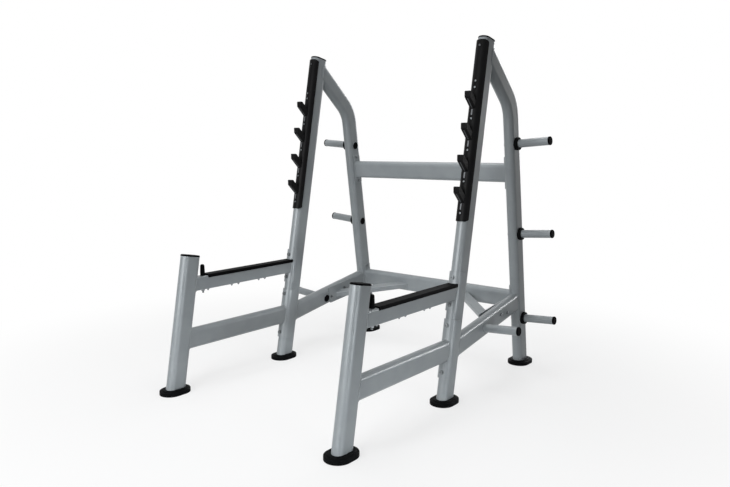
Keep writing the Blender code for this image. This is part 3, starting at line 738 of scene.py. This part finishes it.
def buildSideRails():
    start = tubeY(upright, sideRail["z"])
    slope = math.radians(sideRail["rise"])
    rear = tan(-rearTube["lean"])
    low = sideRailZ(start)
    reach = (rearTube["y"] - start - low * rear) / (math.cos(slope) + math.sin(slope) * rear)
    end = shift(0, start + reach * math.cos(slope), low + reach * math.sin(slope))
    place = end @ turnX(90 + sideRail["rise"])
    outline = barOutline(*section(sideRail))
    for side, sign in sides:
        bar = moved(roundedBar(*section(sideRail), reach), toSide(sign) @ place)
        addPainted(f"side_rail_bar_{side}", bar, f"side_rail_{side}")
        welds = jointWelds(outline, place, meetsOval(rearTube, -1), meetsOval(upright, 1))
        addWeld(f"side_rail_welds_{side}", moved(welds, toSide(sign)))


# crossbars between the rear tubes, with their end plates

crossbars = {
    "upper": {"z": 1.119, "plateBelow": 0.088},
    "lower": {"z": 0.389, "plateBelow": 0.070},
}
endPlate = {"above": 0.092, "width": 0.056, "thickness": 0.006, "corner": 0.008, "edge": 0.0010,
            "boltInset": 0.0135}


def roundedPlate(width, height):
    work = roundedBar(width, height, endPlate["corner"], endPlate["thickness"], 5)
    return roundEdges(work, endPlate["edge"], 2)


def buildCrossbars():
    face = sideX - oval["width"] / 2 - gap
    half = face - endPlate["thickness"] / 2
    lying = (railTube["height"], railTube["width"], railTube["corner"])
    for name, sizes in crossbars.items():
        across = leaning(rearTube, sizes["z"]) @ turnY(90)
        bar = moved(roundedBar(*lying, 2 * half), across @ shift(0, 0, -half))
        addPainted(f"{name}_crossbar_tube", bar, f"{name}_crossbar")
        height = sizes["plateBelow"] + endPlate["above"]
        middle = (sizes["plateBelow"] - endPlate["above"]) / 2
        for side, sign in sides:
            low = face - endPlate["thickness"] if sign > 0 else -face
            plate = moved(roundedPlate(height, endPlate["width"]), across @ shift(middle, 0, low))
            addPainted(f"{name}_crossbar_plate_{side}", plate)
            inner = sign * (face - endPlate["thickness"])
            seam = [across @ Vector((x, y, inner)) for x, y in barOutline(*lying)]
            addWeld(f"{name}_crossbar_weld_{side}", weldBead(seam))
            for label, x in (("top", -endPlate["above"] + endPlate["boltInset"]),
                             ("bottom", sizes["plateBelow"] - endPlate["boltInset"])):
                seat = across @ shift(x, 0, inner) @ (turnX(180) if sign > 0 else Matrix())
                addFastener(f"{name}_crossbar_screw_{label}_{side}", moved(boltHead(bolt, smallBolt), seat))


# diagonal braces and the plates that bolt them to the side rails

brace = {"width": 0.050, "height": 0.034, "corner": 0.006, "twist": 14.0, "fromRear": 0.371,
         "railDrop": 0.016, "barX": 0.205, "barDrop": 0.011, "plateFront": 0.073, "plateRear": 0.167,
         "plateHeight": 0.104, "plateDrop": 0.004, "plateTilt": 7.0}
braceBolts = ((0.497, 0.350), (0.571, 0.347), (0.372, 0.311))   # (y, z) on the rail's outer face


def alongLine(start, end):  # local Z from start towards end, local X level
    forward = (end - start).normalized()
    level = Vector((-forward.y, forward.x, 0)).normalized()
    return shift(*start) @ Matrix((level, forward.cross(level), forward)).transposed().to_4x4()


def buildBraces():
    railY = rearTube["y"] - brace["fromRear"]
    lower = crossbars["lower"]["z"]
    face = sideX - rail["width"] / 2 - gap
    crossbarPlace = leaning(rearTube, lower)
    crossbarFront = meetsFace(crossbarPlace @ Vector((0, -railTube["width"] / 2, 0)),
                              crossbarPlace.to_3x3() @ Vector((0, -1, 0)))
    for side, sign in sides:
        start = Vector((sign * sideX, railY, sideRailZ(railY) - brace["railDrop"]))
        end = Vector((sign * brace["barX"], tubeY(rearTube, lower), lower - brace["barDrop"]))
        twist = Matrix.Rotation(math.radians(-sign * brace["twist"]), 4, "Z")
        place = alongLine(start, end) @ twist
        bar = moved(roundedBar(*section(brace), (end - start).length), place)
        inner = sign * (face - endPlate["thickness"])
        cutAway(bar, (sign * (face - endPlate["thickness"] / 2), 0, 0), (sign, 0, 0))
        addPainted(f"brace_bar_{side}", bar, f"brace_{side}")
        plateFace = meetsFace(Vector((inner, 0, 0)), Vector((1, 0, 0)))
        welds = jointWelds(barOutline(*section(brace)), place, plateFace, crossbarFront)
        addWeld(f"brace_welds_{side}", welds)

        y = railY + (brace["plateRear"] - brace["plateFront"]) / 2
        seat = shift(sign * face, y, sideRailZ(y) - brace["plateDrop"])
        plate = roundedPlate(brace["plateHeight"], brace["plateFront"] + brace["plateRear"])
        turned = turnX(brace["plateTilt"]) @ turnY(-90 * sign)
        addPainted(f"brace_plate_{side}", moved(plate, seat @ turned))
        for number, (y, z) in enumerate(braceBolts, 1):
            outer = shift(sign * (sideX + rail["width"] / 2), y, z) @ turnY(90 * sign)
            addFastener(f"brace_screw_{number}_{side}", moved(boltHead(bolt, smallBolt), outer))
            behind = shift(inner, y, z) @ turnY(-90 * sign)
            addFastener(f"brace_nut_{number}_{side}", moved(nutAndTip(nut), behind))


# weight horns

horn = {"radius": 0.0222, "wall": 0.003, "length": 0.186, "tilt": 4.5, "stub": 0.003, "edge": 0.0005,
        "steps": 48, "weldPoints": 24,
        "capLength": 0.009, "capLip": 0.0008, "capRound": 0.0030, "capSpigot": 0.014,
        "plugRim": 0.0022, "plugRound": 0.0007, "plugSpigot": 0.012,
        "collarRadius": 0.0345, "collar": 0.016, "collarRound": 0.0030,
        "collarSunk": 0.003}    # the tube rounds away under the disc's edge
hornHeights = {"top": 1.274, "middle": 0.776, "low": 0.279}
railHorn = {"fromUpright": 0.355, "drop": 0.007}


def spigotShape(radius, face, seat, end):  # a head from its face to its seat, then a spigot in the bore
    spigot = horn["radius"] - horn["wall"] - gap
    return turnedShape([(0, face), (radius, face), (radius, seat), (spigot, seat), (spigot, end), (0, end)],
                       horn["steps"])


def hornPipe(name, place, width, collar, side):
    inward = width / 2 + horn["stub"]
    end = width / 2 + horn["length"]
    pipe = disc(horn["radius"], -inward, end, horn["steps"], horn["radius"] - horn["wall"])
    roundEdges(pipe, horn["edge"], 2)
    addPainted(f"{name}_pipe_{side}", moved(pipe, place), f"{name}_{side}")
    face = end + horn["capLength"]
    cap = spigotShape(horn["radius"] + horn["capLip"], face, end + gap, end - horn["capSpigot"])
    roundEdges(cap, horn["capRound"], 4, chosen=higherThan(end + horn["capLength"] / 2))
    addPiece(f"{name}_end_cap_{side}", moved(cap, place), capPlastic, "cap_plastic", f"{name}_cap_{side}")
    plug = spigotShape(horn["radius"], -inward - gap - horn["plugRim"], -inward - gap,
                       horn["plugSpigot"] - inward)
    roundEdges(plug, horn["plugRound"], 2, chosen=lambda e: e.verts[0].co.z < -inward)
    addPiece(f"{name}_inner_plug_{side}", moved(plug, place), capPlastic, "cap_plastic")
    if collar:
        top = width / 2 + horn["collar"]
        ring = disc(horn["collarRadius"], width / 2 - horn["collarSunk"], top, horn["steps"],
                    horn["radius"] + gap)
        roundEdges(ring, horn["collarRound"], 3, chosen=higherThan(top - horn["collar"] / 2))
        addPiece(f"{name}_disc_{side}", moved(ring, place), rubber, "collar_rubber", f"{name}_collar_{side}")


def buildHorns():
    for side, sign in sides:
        outward = turnY(sign * (90 - horn["tilt"]))
        for label, z in hornHeights.items():
            place = shift(sign * sideX, tubeY(rearTube, z), z) @ outward
            hornPipe(f"{label}_horn", place, oval["width"], True, side)
        y = upright["y"] + railHorn["fromUpright"]
        place = shift(sign * sideX, y, sideRailZ(y) - railHorn["drop"]) @ outward
        hornPipe("rail_horn", place, rail["width"], False, side)
        railSide = Vector((sign * (sideX + rail["width"] / 2), 0, 0))
        seam = jointPath(circleOutline(horn["radius"], horn["weldPoints"]), place,
                         meetsFace(railSide, Vector((1, 0, 0))))
        addWeld(f"rail_horn_weld_{side}", weldBead(seam))


# feet and tube caps

foot = {"width": 0.123, "length": 0.163, "base": 0.020, "step": 0.005, "inset": 0.014,
        "baseRound": 0.0050, "stepRound": 0.0018, "hem": 0.0012, "segments": 20}
tubeCap = {"thickness": 0.008, "lip": 0.0008, "rounding": 0.0045}


def footPad():
    work = stadiumBar(foot["width"], foot["length"], foot["base"], foot["segments"])
    top = max(work.faces, key=lambda face: face.calc_center_median().z)
    bmesh.ops.inset_region(work, faces=[top], thickness=foot["inset"], use_even_offset=True)
    grown = bmesh.ops.extrude_face_region(work, geom=[top])["geom"]
    bmesh.ops.delete(work, geom=[top], context="FACES_ONLY")
    bmesh.ops.translate(work, vec=(0, 0, foot["step"]), verts=vertsOf(grown))
    facedOut(work)

    def level(z):
        return lambda edge: all(abs(v.co.z - z) < 10 * hair for v in edge.verts)
    roundEdges(work, foot["hem"], 2, chosen=level(0))
    roundEdges(work, foot["stepRound"], 4, chosen=level(foot["base"] + foot["step"]))
    roundEdges(work, foot["baseRound"], 4, chosen=level(foot["base"]))
    return work


def buildFeetAndCaps():
    for side, sign in sides:
        for name, tube in (("front", frontLeg), ("middle", upright), ("rear", rearTube)):
            pad = moved(footPad(), shift(sign * sideX, tube["y"], 0))
            addPiece(f"{name}_pad_{side}", pad, rubber, "foot_rubber", f"{name}_foot_{side}")
        for name, tube in (("leg", frontLeg), ("upright", upright)):
            cap = ovalBar(tubeCap["lip"], tubeCap["thickness"])
            roundEdges(cap, tubeCap["rounding"], 5, chosen=higherThan(tubeCap["thickness"] / 2))
            place = toSide(sign) @ leaning(tube, tube["top"]) @ shift(0, 0, gap)
            addPiece(f"{name}_end_cap_{side}", moved(cap, place), capPlastic, "cap_plastic",
                     f"{name}_cap_{side}")


# bar racks: the black mouldings with four hooks each

moulding = {"thickness": 0.006, "depth": 0.0225, "bottom": 0.886, "belowTop": 0.013, "corner": 0.016,
            "edge": 0.0016}
hook = {"width": 0.032, "reach": 0.060, "angle": 44.5, "thickness": 0.034, "tip": 0.018, "edge": 0.0040,
        "belowTop": 0.258, "spacing": 0.1533, "count": 4,
        "buried": 0.012}    # how far it runs in from the moulding's front
strip = {
    "width": 0.0080, "thickness": 0.0018, "edge": 0.0004, "down": 0.033, "below": 0.004,
    "ribWidth": 0.0055, "ribFromTip": 0.006, "ribFromFront": 0.011,
    "channel": 0.0022, "channelWidth": 0.0100, "channelFromTip": 0.004,
    "spareBack": 0.03, "spareBelow": 0.02,      # what the channel's cutter reaches past the hook
}
screws = {"radius": 0.0050, "head": 0.0024, "wellRadius": 0.0088, "wellRim": 0.0016,
          "wellGap": 0.0006, "wellEdge": 0.0005, "wellSteps": 32,
          "heights": (1.743, 1.570, 1.539, 1.387, 1.233, 1.080, 0.926)}
hookSlope = tan(hook["angle"])
hookDrop = hook["thickness"] / cos(hook["angle"])    # its thickness, measured upright


def mouldingShell():  # a sheet round the upright's front, shaped at its ends, then given its wall
    low = tubeRun(upright, moulding["bottom"])
    height = tubeRun(upright, upright["top"] - moulding["belowTop"]) - low
    grow = gap + moulding["thickness"]
    work = openSheet(grow, height, moulding["depth"] - oval["depth"] / 2)
    half = oval["width"] / 2 + grow
    for vert in work.verts:
        over = max(0.0, abs(vert.co.x) - (half - moulding["corner"]))
        drop = moulding["corner"] - math.sqrt(max(0.0, moulding["corner"] ** 2 - over ** 2))
        vert.co.z += -drop if vert.co.z > height / 2 else drop
    roundEdges(thickened(work, moulding["thickness"]), moulding["edge"], 3, above=50)
    return moved(work, leaning(upright, 0) @ shift(0, 0, low))


def hookSeat(index):  # the bottom of a hook's V on the moulding's front, local X forward and Y up
    rise = (hook["reach"] - hook["tip"]) * hookSlope
    z = upright["top"] - hook["belowTop"] - hook["spacing"] * index - rise
    front = tubeY(upright, z) - (oval["depth"] / 2 + gap + moulding["thickness"]) / cos(upright["lean"])
    turn = Matrix(((0, 0, -1), (-1, 0, 0), (0, 1, 0))).to_4x4()
    return shift(0, front, z) @ turn


def underside(x):  # the height of a hook's underside, this far in front of the moulding
    return x * hookSlope - hookDrop


def hookShape():
    reach, tip, buried = hook["reach"], hook["tip"], hook["buried"]
    top = (reach - tip) * hookSlope
    outline = [(-buried, underside(-buried)), (reach, underside(reach)), (reach, top),
               (reach - tip, top), (-buried, -buried * hookSlope)]
    return roundEdges(extrudedAcross(outline, hook["width"]), hook["edge"], 4, above=20)


def channelCutter():  # the shallow channel in a hook's underside that holds the rib
    back, tip = -strip["spareBack"], hook["reach"] - strip["channelFromTip"]
    low = -strip["spareBelow"]
    deep = strip["channel"] / cos(hook["angle"])
    corners = ((back, low), (tip, low), (tip, deep), (back, deep))
    return extrudedAcross([(x, underside(x) + y) for x, y in corners], strip["channelWidth"])


def stripShapes():  # a rib up the hook's underside, and a strip down the moulding's front
    thick = strip["thickness"]
    outward = Vector((hookSlope, -1)).normalized()
    under = [Vector((x, underside(x))) - outward * (strip["channel"] - thick)
             for x in (hook["reach"] - strip["ribFromTip"], strip["ribFromFront"])]
    lean = tan(upright["lean"])     # the moulding's front leans back as it rises
    junction = -hookDrop / (1 + lean * hookSlope)
    front = [Vector((-lean * y + thick / 2, y))
             for y in (junction - strip["below"], junction - strip["down"])]
    shapes = []
    for path, width in ((under, strip["ribWidth"]), (front, strip["width"])):
        work = bmesh.new()
        verts = [work.verts.new((point.x, point.y, -width / 2)) for point in path]
        drawOut(work, [work.edges.new(verts)], (0, 0, width), closed=False)
        facedOut(work)
        bmesh.ops.solidify(work, geom=work.faces[:], thickness=thick)
        shapes.append(roundEdges(work, strip["edge"], 2, above=50))
    return shapes


def panScrew(radius, head):  # a low head with a hexagon socket, on local Z = 0
    return boltHead({**bolt, "washerRadius": radius * 1.02, "washer": head * 0.3, "radius": radius,
                     "head": head * 0.7, "socket": radius * 0.42, "socketDepth": head * 0.6,
                     "rounding": head * 0.35})


def buildRacks():
    for side, sign in sides:
        addPiece(f"rack_moulding_{side}", moved(mouldingShell(), toSide(sign)), nylon, "rack_plastic",
                 f"bar_rack_{side}")
        for index in range(hook["count"]):
            place = toSide(sign) @ hookSeat(index)
            end = f"{index + 1}_{side}"
            body = cutWith(hookShape(), channelCutter())
            addPiece(f"rack_hook_{end}", moved(body, place), nylon, "rack_plastic")
            rib, wear = stripShapes()
            # the rib under the hook takes the darker steel, as painted shade
            addPiece(f"hook_rib_{end}", moved(rib, place), shadeDarkSteel, "bolt_steel")
            addPiece(f"wear_strip_{end}", moved(wear, place), plainSteel, "bolt_steel")
        for number, z in enumerate(screws["heights"], 1):
            seat = frontSeat(sign, z, moulding["thickness"])
            # the topmost screw takes the darker steel, as painted shade
            metal = shadeDarkSteel if z == max(screws["heights"]) else zinc
            screw = panScrew(screws["radius"], screws["head"])
            addPiece(f"rack_screw_{number}_{side}", moved(screw, seat), metal, "bolt_steel")
            rim = disc(screws["wellRadius"], 0, screws["wellRim"], screws["wellSteps"],
                       screws["radius"] + screws["wellGap"])
            roundEdges(rim, screws["wellEdge"], 2)
            addPiece(f"rack_screw_rim_{number}_{side}", moved(rim, seat), nylon, "rack_plastic")


# liners and bar stops on the spotter arms

liner = {"thickness": 0.007, "side": 0.003, "skirt": 0.011, "corner": 0.004, "edge": 0.0010,
         "setback": 0.064, "stopSetback": 0.046,    # from the front leg's back
         "stopRadius": 0.0125, "stopHeight": 0.060, "stopRound": 0.0085, "stopTop": 0.0110, "stopSteps": 40,
         "linkWidth": 0.016, "linkHeight": 0.005, "linkCorner": 0.0015}
armScrews = (-0.568, -0.408, -0.361, -0.212, -0.166)   # along the arm, with their ends under it
stopStud = {**nut, "washerRadius": 0.0115, "washer": 0.0020, "radius": 0.0095, "height": 0.0080,
            "boltRadius": 0.0050, "reach": 0.0210}


def buildLiners():
    back = tubeY(frontLeg, arm["z"]) + oval["depth"] / 2 / cos(frontLeg["lean"])
    front, stopY = back + liner["setback"], back + liner["stopSetback"]
    seatZ = arm["z"] + arm["height"] / 2 + gap
    under = arm["z"] - arm["height"] / 2
    length = tubeY(upright, arm["z"]) - front
    width = arm["width"] + 2 * (liner["side"] + gap)
    height = liner["thickness"] + gap + liner["skirt"]
    for side, sign in sides:
        across = toSide(sign)
        block = roundedBar(width, height, liner["corner"], length, 4)
        roundEdges(block, liner["edge"], 2)
        place = shift(0, front + length, seatZ + liner["thickness"] - height / 2) @ turnX(90)
        space = roundedBar(arm["width"] + 2 * gap, arm["height"] + 2 * gap, arm["corner"] + gap,
                           2 * length, 4)
        room = shift(0, front + 1.5 * length, arm["z"]) @ turnX(90)
        channel = cutWith(moved(block, place), moved(space, room))
        addPiece(f"arm_channel_liner_{side}", moved(channel, across), linerPlastic, "rack_plastic",
                 f"arm_liner_{side}")
        radius, top = liner["stopRadius"], liner["stopHeight"]
        post = turnedShape([(0, top), (liner["stopTop"], top), (radius, top / 3), (radius, 0), (0, 0)],
                           liner["stopSteps"])
        roundEdges(post, liner["stopRound"], 6, chosen=higherThan(top / 2))
        moved(post, across @ shift(0, stopY, seatZ))
        addPiece(f"bar_stop_post_{side}", post, rubber, "rack_plastic")
        run = front + liner["corner"] + liner["linkWidth"] / 2
        link = roundedBar(liner["linkWidth"], liner["linkHeight"], liner["linkCorner"], run - stopY, 3)
        seat = across @ shift(0, run, seatZ + liner["linkHeight"] / 2) @ turnX(90)
        addPiece(f"bar_stop_link_{side}", moved(link, seat), linerPlastic, "rack_plastic")
        for number, y in enumerate(armScrews, 1):
            addFastener(f"liner_nut_{number}_{side}",
                        moved(nutAndTip(nut), across @ shift(0, y, under) @ turnX(180)))
        addFastener(f"bar_stop_nut_{side}",
                    moved(nutAndTip(stopStud), across @ shift(0, stopY, under) @ turnX(180)))


# light, backdrop, floor and camera

def buildLights():
    def softbox(name, size, power, place, target, colour, spread=180, sheenOnly=False):
        lamp = bpy.data.lights.new(name, "AREA")
        lamp.shape = "RECTANGLE"
        lamp.size, lamp.size_y = size
        lamp.energy = power
        lamp.spread = math.radians(spread)
        lamp.color = paintColour(colour)[:3]
        holder = linked(name, lamp)
        holder.visible_diffuse = not sheenOnly
        holder.location = place
        holder.rotation_euler = (Vector(target) - Vector(place)).to_track_quat("-Z", "Y").to_euler()

    softbox("overhead_softbox", (3.4, 3.4), 118, (-0.3, 0.2, 4.2), (0, 0, 0.9), "#ffffff")
    softbox("rear_softbox", (2.8, 2.2), 75, (-0.3, 5.2, 2.1), (0, 0, 0.8), "#fbfdff")
    softbox("front_softbox", (3.4, 2.6), 232, (0.2, -5.2, 1.9), (0, 0, 0.7), "#fbfdff")
    softbox("low_softbox", (1.6, 0.4), 3.2, (3.4, -1.1, 0.30), (0.6, -0.6, 0.12), "#f8fcff", 40)
    # draws the thin highlights along the front rails' shoulders, and lights nothing else
    softbox("rim_softbox", (1.3, 1.3), 2.8, (3.9, 4.6, 1.5), (0.35, -0.5, 0.10), "#ffffff", 20, True)
    # draws the upright highlights on the rear tubes' fronts, and lights nothing else
    softbox("strip_softbox", (0.9, 2.2), 55, (1.5, -5.1, 1.5), (0.5, 0.8, 1.1), "#ffffff", sheenOnly=True)


def buildWorld():
    studio = {"backdrop": "#ffffff", "fill": "#f2f4f6", "fillStrength": 0.02}
    world = bpy.data.worlds.new("studio")
    bpy.context.scene.world = world
    world.use_nodes = True
    tree = world.node_tree
    tree.nodes.clear()
    backdrop = addNode(tree, "ShaderNodeBackground",
                       inputs={"Color": paintColour(studio["backdrop"]), "Strength": 1.0})
    fill = addNode(tree, "ShaderNodeBackground",
                   inputs={"Color": paintColour(studio["fill"]), "Strength": studio["fillStrength"]})
    mix = addNode(tree, "ShaderNodeMixShader",
                  links={"Fac": seenRays(tree), 1: fill.outputs[0], 2: backdrop.outputs[0]})
    addNode(tree, "ShaderNodeOutputWorld", links={"Surface": mix.outputs[0]})


def buildFloor():
    work = bmesh.new()
    bmesh.ops.create_grid(work, x_segments=1, y_segments=1, size=30)
    mesh = meshOf("studio_floor", work)
    mesh.materials.append(studioPaper())
    floor = linked("studio_floor", mesh)


def buildCamera():
    lens = {"millimetres": 32.635, "sensor": 36.0, "place": (2.2761, -2.7062, 1.243),
            "turn": (81.9629, 0.0, 39.5347)}
    camera = bpy.data.cameras.new("photo_camera")
    camera.lens = lens["millimetres"]
    camera.sensor_width = lens["sensor"]
    holder = linked("photo_camera", camera)
    holder.location = lens["place"]
    holder.rotation_euler = [math.radians(a) for a in lens["turn"]]
    bpy.context.scene.camera = holder


buildCamera()
buildWorld()
buildLights()
buildFloor()
print("camera, light and floor are set")
buildTubes()
print("tubes are built")
buildRails()
buildSideRails()
print("rails and arms are built")
buildCrossbars()
buildBraces()
print("crossbars and braces are built")
buildHorns()
buildFeetAndCaps()
print("horns, feet and caps are built")
buildRacks()
buildLiners()
print("bar racks and liners are built")

bpy.context.scene.view_settings.view_transform = "Standard"
